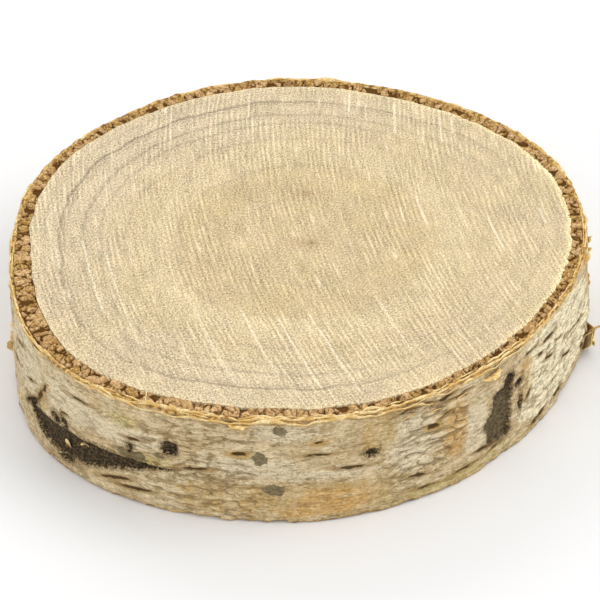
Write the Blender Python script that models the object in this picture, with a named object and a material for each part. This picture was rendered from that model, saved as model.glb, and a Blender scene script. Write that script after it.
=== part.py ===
"""A birch wood slice: one round sawn off a birch branch, with its bark still on.

Metres, +Z up. The slice lies on its lower sawn face, and the origin is the middle of its box on that face.
The branch grew as one piece, so wood and bark are one solid. Its outline is a circle with a few slow
lobes, its two faces are sawn flat, and its side is bark with the swellings and scars of the branch.

Run it with: blender --background --python part.py
"""

import math

import bmesh
import bpy

# Driving dimensions, in metres
MEAN_RADIUS = 0.0500
THICKNESS = 0.0213
EDGE_BREAK = 0.0004  # how far the saw crumbled the bark's two rims

# The outline's lobes: how many go round, how high they are, and the direction of the first, in degrees
OUTLINE_LOBES = (
    (2, 0.0018, 61.0),
    (3, 0.0007, 5.0),
    (4, 0.0003, 34.0),
    (5, 0.0003, 10.0),
    (6, 0.0002, -22.0),
)

# Swellings (+) and hollows (-) of the bark: direction in degrees, height up the side as a share of the
# thickness, half width in degrees, half height as a share of the thickness, and how far they stand out
BARK_SHAPES = {
    "peeled_patch": (-5.0, 0.35, 7.0, 0.45, 0.0013),
    "long_scar": (229.0, 0.32, 16.0, 0.22, -0.0007),
    "short_scar": (314.0, 0.42, 5.0, 0.40, -0.0004),
    "scar_lip": (233.0, 0.72, 12.0, 0.20, 0.0004),
    "back_knot": (118.0, 0.55, 8.0, 0.35, 0.0009),
    "back_hollow": (70.0, 0.45, 11.0, 0.45, -0.0006),
}

# Mesh resolution
STEPS_ROUND = 144
STEPS_UP = 9

WOOD_COLOUR = (0.68, 0.56, 0.38, 1.0)
BARK_COLOUR = (0.60, 0.52, 0.40, 1.0)
WOOD_ROUGHNESS = 0.75
BARK_ROUGHNESS = 0.85
SMOOTH_BELOW = math.radians(35.0)


def clear_scene():
    for obj in list(bpy.data.objects):
        bpy.data.objects.remove(obj, do_unlink=True)


def outline_radius(angle):
    """Distance from the middle of the branch to the outside of its bark."""
    radius = MEAN_RADIUS
    for lobes, height, first in OUTLINE_LOBES:
        radius += height * math.cos(lobes * (angle - math.radians(first)))
    return radius


def turn_between(angle, other):
    """The turn from other to angle, between -pi and pi."""
    return (angle - other + math.pi) % (2.0 * math.pi) - math.pi


def bark_relief(angle, share):
    """How far the bark stands out at this direction and share of the height."""
    relief = 0.0
    for direction, height, half_width, half_height, out in BARK_SHAPES.values():
        across = turn_between(angle, math.radians(direction)) / math.radians(half_width)
        along = (share - height) / half_height
        relief += out * math.exp(-across * across - along * along)
    return relief


def level_heights():
    """Heights of the rings up the side, with a narrow step at each rim."""
    low = EDGE_BREAK
    high = THICKNESS - EDGE_BREAK
    between = [low + (high - low) * i / (STEPS_UP - 1) for i in range(STEPS_UP)]
    return [0.0] + between + [THICKNESS]


def place_ring(ring, height):
    """Moves a ring of vertices to the bark's surface at this height, round the middle of the branch."""
    at_rim = height <= 0.0 or height >= THICKNESS
    for index, vert in enumerate(ring):
        angle = 2.0 * math.pi * index / STEPS_ROUND
        radius = outline_radius(angle) + bark_relief(angle, height / THICKNESS)
        if at_rim:
            radius -= EDGE_BREAK
        vert.co = (radius * math.cos(angle), radius * math.sin(angle), height)


def centre_on_box(bm):
    """Moves the slice so that the middle of its box stands over the origin."""
    xs = [vert.co.x for vert in bm.verts]
    ys = [vert.co.y for vert in bm.verts]
    middle = ((min(xs) + max(xs)) / 2.0, (min(ys) + max(ys)) / 2.0, 0.0)
    bmesh.ops.translate(bm, verts=bm.verts, vec=[-value for value in middle])


def make_material(name, colour, roughness):
    material = bpy.data.materials.new(name)
    material.use_nodes = True
    shader = material.node_tree.nodes["Principled BSDF"]
    shader.inputs["Base Color"].default_value = colour
    shader.inputs["Roughness"].default_value = roughness
    shader.inputs["Metallic"].default_value = 0.0
    return material


def make_slice():
    mesh = bpy.data.meshes.new("birch_slice")
    bm = bmesh.new()
    ring = bmesh.ops.create_circle(bm, cap_ends=False, segments=STEPS_ROUND, radius=MEAN_RADIUS)["verts"]
    # The circle's vertices run the way of growing angle once they are sorted by it
    ring = sorted(ring, key=lambda v: math.atan2(v.co.y, v.co.x) % (2.0 * math.pi))
    heights = level_heights()
    place_ring(ring, heights[0])
    lower_rim = list(bm.edges)
    rim = lower_rim
    for height in heights[1:]:
        made = bmesh.ops.extrude_edge_only(bm, edges=rim)["geom"]
        rim = [item for item in made if isinstance(item, bmesh.types.BMEdge)]
        new_verts = {item for item in made if isinstance(item, bmesh.types.BMVert)}
        ring = [next(e.other_vert(v) for e in v.link_edges if e.other_vert(v) in new_verts) for v in ring]
        place_ring(ring, height)
    bark_faces = set(bm.faces)
    bmesh.ops.holes_fill(bm, edges=lower_rim + rim)
    centre_on_box(bm)
    bmesh.ops.recalc_face_normals(bm, faces=bm.faces)
    for face in bm.faces:
        face.material_index = 1 if face in bark_faces else 0
    bm.to_mesh(mesh)
    bm.free()
    mesh.materials.append(make_material("sawn_birch", WOOD_COLOUR, WOOD_ROUGHNESS))
    mesh.materials.append(make_material("birch_bark", BARK_COLOUR, BARK_ROUGHNESS))
    mesh.shade_smooth()
    mesh.set_sharp_from_angle(angle=SMOOTH_BELOW)
    piece = bpy.data.objects.new("birch_slice", mesh)
    bpy.context.scene.collection.objects.link(piece)
    return piece


def main():
    clear_scene()
    make_slice()


if __name__ == "__main__":
    main()
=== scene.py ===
"""The looks of a birch wood slice, laid out as a Blender add-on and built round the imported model.

The slice is a round sawn off a birch branch. From the middle outwards it shows sawn wood with its growth
rings and saw marks, a crumbly ring of cork, and the paper bark with its torn, curling edges. Lengths are
in metres where a name or comment doesn't say mm. Directions are degrees round the middle of the branch,
from +X towards +Y.
"""

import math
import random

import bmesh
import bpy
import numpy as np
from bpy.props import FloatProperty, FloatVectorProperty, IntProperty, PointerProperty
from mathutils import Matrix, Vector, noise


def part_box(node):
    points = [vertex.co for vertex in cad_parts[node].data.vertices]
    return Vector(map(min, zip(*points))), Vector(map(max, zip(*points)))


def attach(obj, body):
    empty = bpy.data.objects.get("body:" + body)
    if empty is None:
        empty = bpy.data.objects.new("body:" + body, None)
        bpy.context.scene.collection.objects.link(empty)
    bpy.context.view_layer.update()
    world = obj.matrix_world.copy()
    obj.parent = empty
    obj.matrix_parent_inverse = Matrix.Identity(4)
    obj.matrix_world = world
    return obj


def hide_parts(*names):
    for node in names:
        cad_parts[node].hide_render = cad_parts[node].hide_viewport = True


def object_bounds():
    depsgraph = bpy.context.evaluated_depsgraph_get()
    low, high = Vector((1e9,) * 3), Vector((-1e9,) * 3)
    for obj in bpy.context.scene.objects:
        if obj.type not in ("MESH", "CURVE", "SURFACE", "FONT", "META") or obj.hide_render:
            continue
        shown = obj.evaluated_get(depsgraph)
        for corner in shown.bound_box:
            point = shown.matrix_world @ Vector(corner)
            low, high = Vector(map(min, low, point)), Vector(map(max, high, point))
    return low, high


bl_info = {
    "name": "Birch Wood Slice",
    "version": (1, 0, 0),
    "blender": (4, 5, 0),
    "location": "3D View > Sidebar > Birch Slice",
    "description": "Builds a sawn round of birch with its wood, cork, paper bark and torn bark edges",
    "category": "Add Mesh",
}

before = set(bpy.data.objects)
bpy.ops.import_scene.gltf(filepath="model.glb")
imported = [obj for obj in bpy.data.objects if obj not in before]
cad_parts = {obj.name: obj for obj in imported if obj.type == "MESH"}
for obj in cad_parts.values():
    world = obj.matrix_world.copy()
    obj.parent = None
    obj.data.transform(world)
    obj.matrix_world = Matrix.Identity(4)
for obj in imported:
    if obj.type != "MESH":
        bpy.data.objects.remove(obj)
CAD_LOW, CAD_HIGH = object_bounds()

NODE = "birch_slice"
BODY = "root"
MM = 0.001
FULL_TURN = 2.0 * math.pi
THICKNESS = CAD_HIGH.z - CAD_LOW.z

# The branch's outline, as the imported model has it: lobes that go round, their height and first direction
MEAN_RADIUS = 0.0500
OUTLINE_LOBES = (
    (2, 0.0018, 61), (3, 0.0007, 5), (4, 0.0003, 34), (5, 0.0003, 10), (6, 0.0002, -22),
)
# Swellings and hollows of the bark: direction, height as a share of the thickness, half width in degrees,
# half height as a share, and how far they stand out
BARK_SHAPES = (
    (-5, 0.35, 7, 0.45, 0.0013), (229, 0.32, 16, 0.22, -0.0007), (314, 0.42, 5, 0.4, -0.0004),
    (233, 0.72, 12, 0.2, 0.0004), (118, 0.55, 8, 0.35, 0.0009), (70, 0.45, 11, 0.45, -0.0006),
)
# Where the bark is thicker or thinner than usual: direction, half width in degrees, and by how much
BARK_WIDTH_CHANGES = (
    (203, 24, 0.0016), (75, 42, 0.0005), (312, 40, -0.0005), (256, 26, 0.0006),
)
DEEPEST_SCAR = 1.0 * MM  # nothing in the bark's outside goes deeper, so the cork behind it stays hidden
PITH = (0.0030, -0.0018)  # from the middle of the branch
SAW_CENTRE = (0.190, 0.037)  # the middle of the saw blade that cut the faces, which left arcs round it
SAW_RADIUS = 0.180

# Marks of the bark that grew in one place: direction, height in mm, half length round the branch in mm,
# half height in mm, tilt in degrees, and how square the ends are if they aren't elliptical
BARK_MARKS = {
    "scar": (
        (314.9, 7, 2.9, 3, -7, 6), (312.5, 8.3, 1.6, 1.5, -40, 4), (315.5, 11.9, 2.4, 2.4, -4, 6),
        (317.1, 15.2, 1.2, 1.3, -15, 3), (320.4, 13.3, 1.2, 0.8, 25), (321.2, 8.8, 0.5, 1.5, 0),
        (213, 7.6, 2.6, 0.6, 30), (221.8, 9.2, 1, 1.3, 0), (224.4, 9.3, 0.6, 1.6, 0),
        (239.8, 11.4, 0.5, 0.9, 0), (247.6, 13.2, 1.35, 1.35, 20), (284.4, 12.8, 1.1, 0.75, 0),
        (225, 2.6, 1.5, 0.6, 0),
    ),
    "ash": (
        (314.8, 8.6, 3.6, 4.6, 0),
    ),
    "spot": (
        (239.9, 9.6, 2.9, 1.2, 0), (245.6, 11, 0.9, 0.5, 0), (264, 13.2, 1.1, 1.25, 20, 3),
        (266.6, 6.8, 1.6, 1.1, -15, 3), (267.5, 18.7, 1.2, 0.8, -30, 3), (317.9, 4.8, 1, 0.8, 0),
    ),
    "lenticel": (
        (260.2, 13.9, 2.1, 0.75, 0), (274.6, 16.2, 1.7, 0.6, 4), (297.2, 14.2, 2, 0.8, -6),
    ),
    "slit": (
        (214, 8.6, 2.6, 0.42, 34), (217, 11.2, 2.4, 0.52, 58), (213, 12, 1.6, 0.3, 20),
        (207.5, 16, 2.2, 0.35, 15), (204.5, 11, 2.6, 0.35, 12), (219.2, 13.9, 1.4, 0.45, 66),
        (225.2, 12, 1, 0.35, -10), (224, 11.3, 0.5, 0.4, 50), (229.5, 17, 2.6, 0.3, 0),
        (240.6, 13.4, 1.9, 0.3, 0), (252, 9.8, 2.8, 0.35, 6), (236.5, 3.7, 3.4, 0.4, 14),
        (240.5, 2.9, 3.6, 0.35, 6), (274.5, 13.8, 3, 0.3, 0), (281, 10.5, 3, 0.35, -3),
        (300, 15.6, 2, 0.3, 20), (292, 19.4, 2.4, 0.4, 15), (293.8, 5.6, 2.3, 0.4, -8),
        (300, 19, 1.8, 0.4, 10), (310.2, 4.3, 2.9, 0.4, -6), (296, 2.5, 3.2, 0.24, -3),
        (305, 2.7, 3.4, 0.26, 3), (314, 3, 2.8, 0.24, 5), (324.5, 17.5, 2.3, 0.35, 0),
        (331.5, 16.7, 2.6, 0.4, -3), (328.5, 14.9, 1.2, 0.35, 0), (336.5, 14, 1.6, 0.35, -12),
        (346, 11.2, 4, 0.35, -8), (332.5, 12.4, 1.8, 0.3, -5), (341, 8.1, 3, 0.35, -8),
        (335, 6.5, 1.8, 0.4, 0), (324, 9, 0.5, 1.4, -30), (351.8, 3.4, 1.6, 0.5, -62),
        (328.5, 2, 3, 0.6, 10), (337.5, 2.4, 1.8, 0.7, 0),
    ),
    "chalk": (
        (262, 11.2, 7.5, 1.9, 0), (276, 9.8, 8, 0.9, 2), (238, 13.5, 6.5, 2.4, 0),
        (292.5, 13, 4.5, 5.5, 0), (226, 14.5, 6, 4, 0), (209, 14, 8, 6, 0), (268, 18, 5, 1.4, 0),
        (308, 9, 2.8, 5, 0, 3),
    ),
    # Pale bark on the side towards the key lamp, made lighter still as painted light
    "cream_and_highlight": (
        (337, 11, 15, 9, 0, 3),
    ),
    "tan": (
        (216.8, 11, 5, 1.2, 50), (277, 4.6, 10.5, 3.4, 0, 3), (258, 4.5, 8.5, 3, 0, 3),
        (286, 16, 3.2, 4, 0), (322.5, 12, 3.2, 4.5, 0),
    ),
    "orange": (
        (302.8, 12, 2.3, 6, 0, 4), (277.5, 4.2, 6, 2.6, 0, 3), (271, 2.2, 3, 1, 0),
        (322.8, 15.6, 1.8, 1.2, 0),
    ),
    "moss": (
        (238.8, 16.5, 2.4, 1.6, 0), (243, 9.5, 4, 1.4, 0), (304, 1.5, 13.5, 1.1, 0, 4),
        (216, 8.2, 3, 1, 25),
    ),
}
ELLIPTICAL = 2.0
SLIT_SHARPNESS = 3.0  # slits are thin, so their fields rise faster

# The long scar is a boat: flat on top and deep towards its left end
BOAT_SCAR = {"left": 211.5, "right": 249.0, "top_left": 7.5, "top_right": 8.9, "belly": 4.9}
BOAT_LEAN = (0.75, 1.5)  # the belly's two powers: the first lower than the second puts it to the left

# Growth rings that stand out: share of the way from the pith to the bark, half width, strength
GROWTH_RINGS = (
    (0.952, 0.003, 0.25), (0.893, 0.007, 0.78), (0.877, 0.003, 0.45), (0.808, 0.008, 0.46),
    (0.752, 0.007, 0.36), (0.655, 0.007, 0.24), (0.475, 0.01, 0.18), (0.27, 0.01, 0.14),
)
# Bright scratches of the saw: from x, y to x, y in mm from the middle of the branch, half width, strength
SCRATCHES = (
    (18, 43, 18, 32, 0.34, 1), (10, 46, 10, 39, 0.3, 1), (26, 38, 26, 29, 0.28, 0.9),
    (28, 38, 28.4, 32, 0.28, 0.9), (21, 13, 23, 4, 0.3, 0.9), (33, 7, 35.5, -4, 0.3, 0.9),
    (42, 9, 43.5, 4, 0.32, 0.9), (-9, -20, 0, -40, 0.3, 0.8), (-3, -22, 8, -42, 0.28, 0.8),
    (4, -26, 13, -41, 0.3, 0.8), (-17, -18, -7, -42, 0.28, 0.7), (-36, 0, -29, -22, 0.3, 0.8),
    (-32, -3, -21, -31, 0.28, 0.7), (-42, 8, -38, -10, 0.28, 0.6), (14, -18, 22, -33, 0.26, 0.7),
    (-22, 40, -22.4, 30, 0.28, 0.6), (-8, 46, -8.2, 37, 0.26, 0.6),
)
# Loose flaps of the paper bark: direction, height, length, reach (mm), tilt, lean, curl (degrees)
BARK_FLAPS = (
    (358, 2.6, 3.6, 4.4, 80, 60, -80), (354.6, 2.5, 3.6, 2.6, 16, 80, -75),
    (353.2, 4.9, 1.3, 3.8, -14, 52, 6), (359, 13, 3.2, 0.8, 80, 30, 20), (2, 18.6, 2.6, 1.6, -10, 35, 40),
    (354, 20, 3.2, 1.5, 0, 38, 20), (358.5, 19, 1.8, 1.3, -12, 52, 10), (260, 19.6, 3.6, 1.5, -6, 40, 95),
    (252, 20.2, 5, 1, 2, 15, 50), (290, 19.2, 8.8, 1.9, 2, 10, 42), (311.5, 18.6, 4.2, 1.9, 8, 38, 85),
    (318.5, 19.6, 5, 1.3, 0, 14, 45), (292, 17.6, 2.8, 1, 20, 25, 20),
    (295.5, 18.8, 2.6, 1.1, -15, 30, 30), (297.5, 17, 2.2, 0.9, 10, 25, 25),
    (304, 17.6, 2.6, 0.9, 15, 25, 25), (229.6, 6.8, 0.7, 2.8, -12, 18, 60),
    (224.9, 4.6, 1, 1.7, 5, 12, 10), (190, 4.2, 2.8, 1.5, 84, 40, 80), (181, 11, 2.6, 0.9, 90, 30, 40),
    (186, 6, 2.2, 1, 86, 35, 30), (190, 17, 1.8, 0.8, 92, 30, 30), (195, 9.5, 2.4, 0.9, 88, 30, 40),
    (200, 14.5, 1.8, 0.7, 90, 25, 30), (206, 4, 2.6, 0.8, 70, 25, 30), (176, 16, 2, 0.9, 90, 35, 40),
)
BACK_FLAP_COUNT = 10
BACK_FLAP_RANGES = ((8, 175), (2, 18.5), (1.2, 5), (0.8, 1.8), (-15, 15), (15, 50), (10, 60))
FLAP_THICKNESS = 0.14 * MM

# How finely the pieces are divided
WOOD_STEPS = 216
CORK_AROUND = 1800
BARK_AROUND = 850
RIM_AROUND = 1200
FLAP_COLUMNS = 18
FLAP_ROWS = 14

# Walks across the bands: depth, height, and how many steps lead to the next stop
CORK_WALK = ((0, 1, 24), (1, 1, 2), (1, 0, 12), (0, 0, 1), (0.4, 0.1, 1), (0.4, 0.9, 1))
BARK_WALK = ((0, 0, 102), (0, 1, 3), (1, 1, 2), (3, 0.9, 1), (3, 0.1, 2), (1, 0, 2))
RIM_WALK = ((0, 0, 6), (0, 1, 1), (1, 1, 6), (1, 0, 1))

# Lamps: name, place, what it points at if not the slice, width, power
LAMPS = (
    ("key_light", (0.42, -0.10, 0.48), None, 0.55, 2.05),
    ("back_light", (-0.25, 0.60, 0.40), (-0.12, 0.22, 0.0), 0.50, 1.9),
    ("fill_light", (-0.40, -0.50, 0.34), None, 0.50, 1.35),
)
SKY_STRENGTH = 0.74
FLOOR_HALF_WIDTH = 3.0
CAMERA_ELEVATION = 35.5
CAMERA_DISTANCE = 0.600
CAMERA_LENS = 209.5
CAMERA_AIM = (0.00105, 0.0, 0.0080)  # from the middle of the branch


def to_linear(*channels):
    """A colour as it is seen on a screen, 0 to 255, as the linear colour that a shader takes."""
    shares = [c / 255.0 for c in channels]
    return tuple(s / 12.92 if s <= 0.04045 else ((s + 0.055) / 1.055) ** 2.4 for s in shares)


def length_setting(name, description, default, low, high):
    return FloatProperty(
        name=name, description=description, default=default, min=low, max=high, unit="LENGTH", precision=4)


def colour_setting(name, description, *channels):
    return FloatVectorProperty(
        name=name, description=description, default=to_linear(*channels), size=3, min=0.0, max=1.0,
        subtype="COLOR")


class BirchSliceSizes(bpy.types.PropertyGroup):
    cork_width: length_setting(
        "Bark width", "From the wood's edge to the outside of the bark, where it is neither thick nor thin",
        0.0024, 0.0005, 0.008)
    paper_thickness: length_setting(
        "Paper bark", "Thickness of the paper bark outside the cork", 0.0006, 0.0002, 0.002)
    cork_grain: length_setting("Cork grain", "Width of one hard grain in the cork", 0.00135, 0.0003, 0.004)
    cork_depth: length_setting(
        "Cork depth", "How deep the saw tore between the grains of the cork", 0.0006, 0.0, 0.002)
    saw_pitch: length_setting(
        "Saw mark pitch", "From one saw mark on the wood to the next", 0.0009, 0.0003, 0.004)
    seed: IntProperty(
        name="Seed", description="Start of the random marks on the side away from the long scar",
        default=11, min=0)


class BirchSliceColours(bpy.types.PropertyGroup):
    wood_warm: colour_setting("Warm wood", "Wood round the pith", 197, 177, 138)
    wood_pale: colour_setting("Pale wood", "Young wood near the bark", 202, 182, 143)
    wood_ring: colour_setting("Growth ring", "The darker rings in the young wood", 146, 130, 108)
    cork_grain: colour_setting("Cork grain", "The hard grains of the cork", 210, 171, 120)
    cork_dark: colour_setting("Cork gaps", "Between the grains of the cork", 96, 62, 20)
    paper_gold: colour_setting("Paper edge", "Torn edges of the paper bark", 228, 188, 114)
    paper_cream: colour_setting("Pale paper edge", "Where the torn paper bark is thin", 250, 226, 168)
    bark_beige: colour_setting("Bark", "Most of the paper bark's outside", 200, 175, 132)
    bark_chalk: colour_setting("White bark", "Where the paper bark keeps its white bloom", 228, 213, 180)
    bark_tan: colour_setting("Tan bark", "Where the outer paper has peeled away", 194, 162, 104)
    bark_orange: colour_setting("Orange bark", "Freshly bared bark", 208, 164, 96)
    bark_moss: colour_setting("Greenish bark", "Where algae stain the bark", 190, 172, 100)
    scar_black: colour_setting("Scar", "Black healed wounds of the bark", 36, 28, 16)
    spot_grey: colour_setting("Spot", "Grey lichen spots on the bark", 98, 86, 58)
    floor: colour_setting("Floor", "The table that the slice lies on", 233, 233, 233)


# ---------------------------------------------------------------------------------------------------
# The shape of the branch


def branch_radius(angle):
    """Distance from the middle of the branch to the outside of its bark, at angles in radians."""
    radius = np.full(np.shape(angle), MEAN_RADIUS)
    for lobes, height, first in OUTLINE_LOBES:
        radius += height * np.cos(lobes * (angle - math.radians(first)))
    return radius


def turn_from(angle, direction):
    """The turn in degrees from a direction to the angles, between -180 and 180."""
    return (np.degrees(angle) - direction + 180.0) % 360.0 - 180.0


def bell(angle, direction, half_width):
    """1 in a direction, and less and less on both sides of it."""
    return np.exp(-(turn_from(angle, direction) / half_width) ** 2)


def bark_relief(angle, share):
    relief = np.zeros(np.shape(angle))
    for direction, height, half_width, half_height, out in BARK_SHAPES:
        across = turn_from(angle, direction) / half_width
        along = (share - height) / half_height
        relief += out * np.exp(-across * across - along * along)
    return relief


def find_branch_middle():
    """The middle of the branch in the row frame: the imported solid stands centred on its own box."""
    low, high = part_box(NODE)
    angle, share = np.meshgrid(np.linspace(0.0, FULL_TURN, 721), np.linspace(0.0, 1.0, 33))
    radius = branch_radius(angle) + bark_relief(angle, share)
    xs = radius * np.cos(angle)
    ys = radius * np.sin(angle)
    return np.array([
        (low.x + high.x) / 2.0 - (xs.min() + xs.max()) / 2.0,
        (low.y + high.y) / 2.0 - (ys.min() + ys.max()) / 2.0,
    ])


MIDDLE = find_branch_middle()


def smooth_step(value, low, high):
    share = np.clip((value - low) / (high - low), 0.0, 1.0)
    return share * share * (3.0 - 2.0 * share)


def grain_noise(points, scale, seed=0.0):
    """Smooth noise between about -1 and 1 at each point; scale is the size of its lumps along X, Y, Z.
    Another seed gives another place in the same noise."""
    scaled = points / np.asarray(scale) + seed * 7.31
    return np.array([noise.noise(p) for p in scaled.tolist()])


def bark_noise(points, across_mm, up_mm, seed):
    """The same with lumps of one size round the branch and another one up it."""
    return grain_noise(points, (across_mm * MM, across_mm * MM, up_mm * MM), seed)


def rim_noise(angle, lump_mm, seed):
    """Noise along the rim that joins up after a full turn; the lump is its length along the rim."""
    ring = np.stack([np.cos(angle), np.sin(angle), np.zeros_like(angle)], axis=-1) * MEAN_RADIUS
    return bark_noise(ring, lump_mm, lump_mm, seed)


def wood_radius(angle, sizes):
    """Distance from the middle of the branch to the edge of the wood, which the saw left toothed."""
    width = np.full(np.shape(angle), sizes.cork_width)
    for direction, half_width, more in BARK_WIDTH_CHANGES:
        width += more * bell(angle, direction, half_width)
    wander = rim_noise(angle, 5.5, 3.0) * 0.38 * MM + rim_noise(angle, 2.0, 4.0) * 0.12 * MM
    teeth = np.abs(rim_noise(angle, 0.55, 5.0)) * (0.10 + 0.55 * bell(angle, 350.0, 62.0)) * MM
    return branch_radius(angle) - width + wander - teeth


# ---------------------------------------------------------------------------------------------------
# Meshes to start from


def new_piece(name, bm):
    mesh = bpy.data.meshes.new(name)
    bm.to_mesh(mesh)
    bm.free()
    piece = bpy.data.objects.new(name, mesh)
    bpy.context.scene.collection.objects.link(piece)
    return piece


def thick_piece(name, bm, thickness):
    """A piece from a sheet, which is given a thickness."""
    bmesh.ops.recalc_face_normals(bm, faces=bm.faces)
    bmesh.ops.solidify(bm, geom=bm.faces[:] + bm.edges[:] + bm.verts[:], thickness=thickness)
    bmesh.ops.recalc_face_normals(bm, faces=bm.faces)
    return new_piece(name, bm)


def rolled_band(name, around, across):
    """A ring-shaped skin, closed both ways. Each vertex keeps how far round and how far across it is."""
    bm = bmesh.new()
    turn = bm.verts.layers.float.new("turn")
    walk = bm.verts.layers.float.new("walk")
    bmesh.ops.create_grid(bm, x_segments=around, y_segments=across, size=0.5)
    for vert in bm.verts:
        vert[turn] = vert.co.x + 0.5
        vert[walk] = vert.co.y + 0.5
        round_angle = FULL_TURN * vert[turn]
        across_angle = FULL_TURN * vert[walk]
        out = 3.0 + math.cos(across_angle)
        vert.co = (out * math.cos(round_angle), out * math.sin(round_angle), math.sin(across_angle))
    bmesh.ops.remove_doubles(bm, verts=bm.verts, dist=1e-5)
    bmesh.ops.recalc_face_normals(bm, faces=bm.faces)
    return new_piece(name, bm)


def walked_band(name, around, stops):
    """A rolled band whose section follows the stops, and the angle, depth and height of its vertices."""
    depths = []
    heights = []
    for (depth, height, steps), (next_depth, next_height, _) in zip(stops, stops[1:] + stops[:1]):
        for i in range(steps):
            depths.append(depth + (next_depth - depth) * i / steps)
            heights.append(height + (next_height - height) * i / steps)
    piece = rolled_band(name, around, len(depths))
    angle = read_layer(piece, "turn") * FULL_TURN
    step = np.rint(read_layer(piece, "walk") * len(depths)).astype(int) % len(depths)
    drop_layers(piece, "turn", "walk")
    return piece, angle, np.array(depths)[step], np.array(heights)[step]


def bend_to_disc(x, y):
    """A point of a square as the share of the radius and the angle that it has on a disc."""
    radius = max(abs(x), abs(y))
    if radius < 1e-9:
        return radius, 0.0
    if abs(x) >= abs(y):
        return radius, math.pi / 4.0 * (y / x) + (0.0 if x > 0.0 else math.pi)
    return radius, math.pi / 2.0 - math.pi / 4.0 * (x / y) + (0.0 if y > 0.0 else math.pi)


def round_plate(name, steps):
    """Two square grids bent to discs, one over the other, with their edges bridged. Each vertex keeps its
    share of the radius, its direction and which face it is on."""
    bm = bmesh.new()
    share = bm.verts.layers.float.new("share")
    turn = bm.verts.layers.float.new("turn")
    upper = bm.verts.layers.float.new("upper")
    for face_height in (1.0, 0.0):
        for vert in bmesh.ops.create_grid(bm, x_segments=steps, y_segments=steps, size=1.0)["verts"]:
            radius, angle = bend_to_disc(vert.co.x, vert.co.y)
            vert[share] = radius
            vert[turn] = angle / FULL_TURN
            vert[upper] = face_height
            vert.co = (radius * math.cos(angle), radius * math.sin(angle), face_height)
    bmesh.ops.bridge_loops(bm, edges=[edge for edge in bm.edges if edge.is_boundary])
    bmesh.ops.recalc_face_normals(bm, faces=bm.faces)
    return new_piece(name, bm)


def read_layer(piece, name):
    values = np.empty(len(piece.data.vertices), np.float32)
    piece.data.attributes[name].data.foreach_get("value", values)
    return values.astype(np.float64)


def drop_layers(piece, *names):
    for name in names:
        piece.data.attributes.remove(piece.data.attributes[name])


def write_layer(piece, name, values):
    layer = piece.data.attributes.new(name, "FLOAT", "POINT")
    layer.data.foreach_set("value", np.asarray(values, np.float32))


def place_vertices(piece, x, y, z):
    points = np.stack([x, y, z], axis=-1)
    piece.data.vertices.foreach_set("co", np.asarray(points, np.float32).ravel())
    piece.data.update()


def place_round(piece, radius, angle, z):
    """Puts each vertex at its distance and direction from the middle of the branch."""
    place_vertices(piece, MIDDLE[0] + radius * np.cos(angle), MIDDLE[1] + radius * np.sin(angle), z)


def finish_piece(piece, material, smooth_below=180.0):
    """Gives a piece its material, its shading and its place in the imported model."""
    piece.data.materials.append(material)
    piece.data.shade_smooth()
    if smooth_below < 180.0:
        piece.data.set_sharp_from_angle(angle=math.radians(smooth_below))
    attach(piece, BODY)
    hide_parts(NODE)


# ---------------------------------------------------------------------------------------------------
# Marks on the bark


def arc_mm(angle, direction):
    """Distance along the bark from a direction to the angles, in mm."""
    return np.radians(turn_from(angle, direction)) * MEAN_RADIUS / MM


def mark_field(angle, height_mm, marks, sharpness):
    """How far each point lies inside the nearest of the marks, in mm: above 0 inside it, at most 1."""
    field = np.full(np.shape(angle), -1.0)
    for direction, height, half_length, half_height, tilt, *square in marks:
        squareness = square[0] if square else ELLIPTICAL
        along = arc_mm(angle, direction)
        up = height_mm - height
        cos_tilt = math.cos(math.radians(tilt))
        sin_tilt = math.sin(math.radians(tilt))
        u = np.abs((along * cos_tilt + up * sin_tilt) / half_length)
        v = np.abs((up * cos_tilt - along * sin_tilt) / half_height)
        reach = (u ** squareness + v ** squareness) ** (1.0 / squareness)
        inside = (1.0 - reach) * min(half_length, half_height) * sharpness
        field = np.maximum(field, np.clip(inside, -1.0, 1.0))
    return field


def boat_field(angle, height_mm):
    """The same for the long boat-shaped scar."""
    length = BOAT_SCAR["right"] - BOAT_SCAR["left"]
    share = turn_from(angle, BOAT_SCAR["left"]) / length
    held = np.clip(share, 1e-4, 1.0 - 1e-4)
    top = BOAT_SCAR["top_left"] + (BOAT_SCAR["top_right"] - BOAT_SCAR["top_left"]) * held
    first, second = BOAT_LEAN
    peak = (first / (first + second)) ** first * (second / (first + second)) ** second
    belly = BOAT_SCAR["belly"] * held ** first * (1.0 - held) ** second / peak
    inside = np.minimum(top - height_mm, height_mm - (top - belly))
    beyond = np.maximum(-share, share - 1.0) * math.radians(length) * MEAN_RADIUS / MM
    past_the_tip = -np.hypot(beyond, height_mm - top)
    return np.clip(np.where(beyond > 0.0, past_the_tip, inside), -1.0, 1.0)


def all_marks(seed):
    """The marks of the bark by kind, with more on the side away from the long scar: of the same kinds and
    sizes as in front, and with each of their values drawn from a range."""
    rng = random.Random(seed)
    marks = {kind: list(placed) for kind, placed in BARK_MARKS.items()}

    def scatter(kind, count, squareness, *ranges):
        for _ in range(count):
            marks[kind].append([*(rng.uniform(*span) for span in ranges), squareness])

    scatter("slit", 34, 2, (-4, 206), (1.5, 20), (0.9, 3.6), (0.28, 0.42), (-9, 9))
    scatter("lenticel", 5, 2, (5, 200), (4, 18), (1.4, 2.4), (0.5, 0.8), (-6, 6))
    scatter("spot", 7, 3, (5, 200), (3, 19), (0.7, 1.7), (0.6, 1.3), (-30, 30))
    for _ in range(3):
        direction = rng.uniform(20.0, 190.0)
        height = rng.uniform(6.0, 15.0)
        scatter("scar", 3, 3, (direction - 3, direction + 3), (height - 1.5, height + 1.5),
                (1, 3.4), (0.7, 1.8), (-25, 25))
    for kind, count in (("chalk", 7), ("tan", 5), ("orange", 2), ("moss", 3)):
        scatter(kind, count, 3, (0, 175), (3, 18), (3, 11), (1.5, 5.5), (-6, 6))
    return marks


# ---------------------------------------------------------------------------------------------------
# Materials


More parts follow.
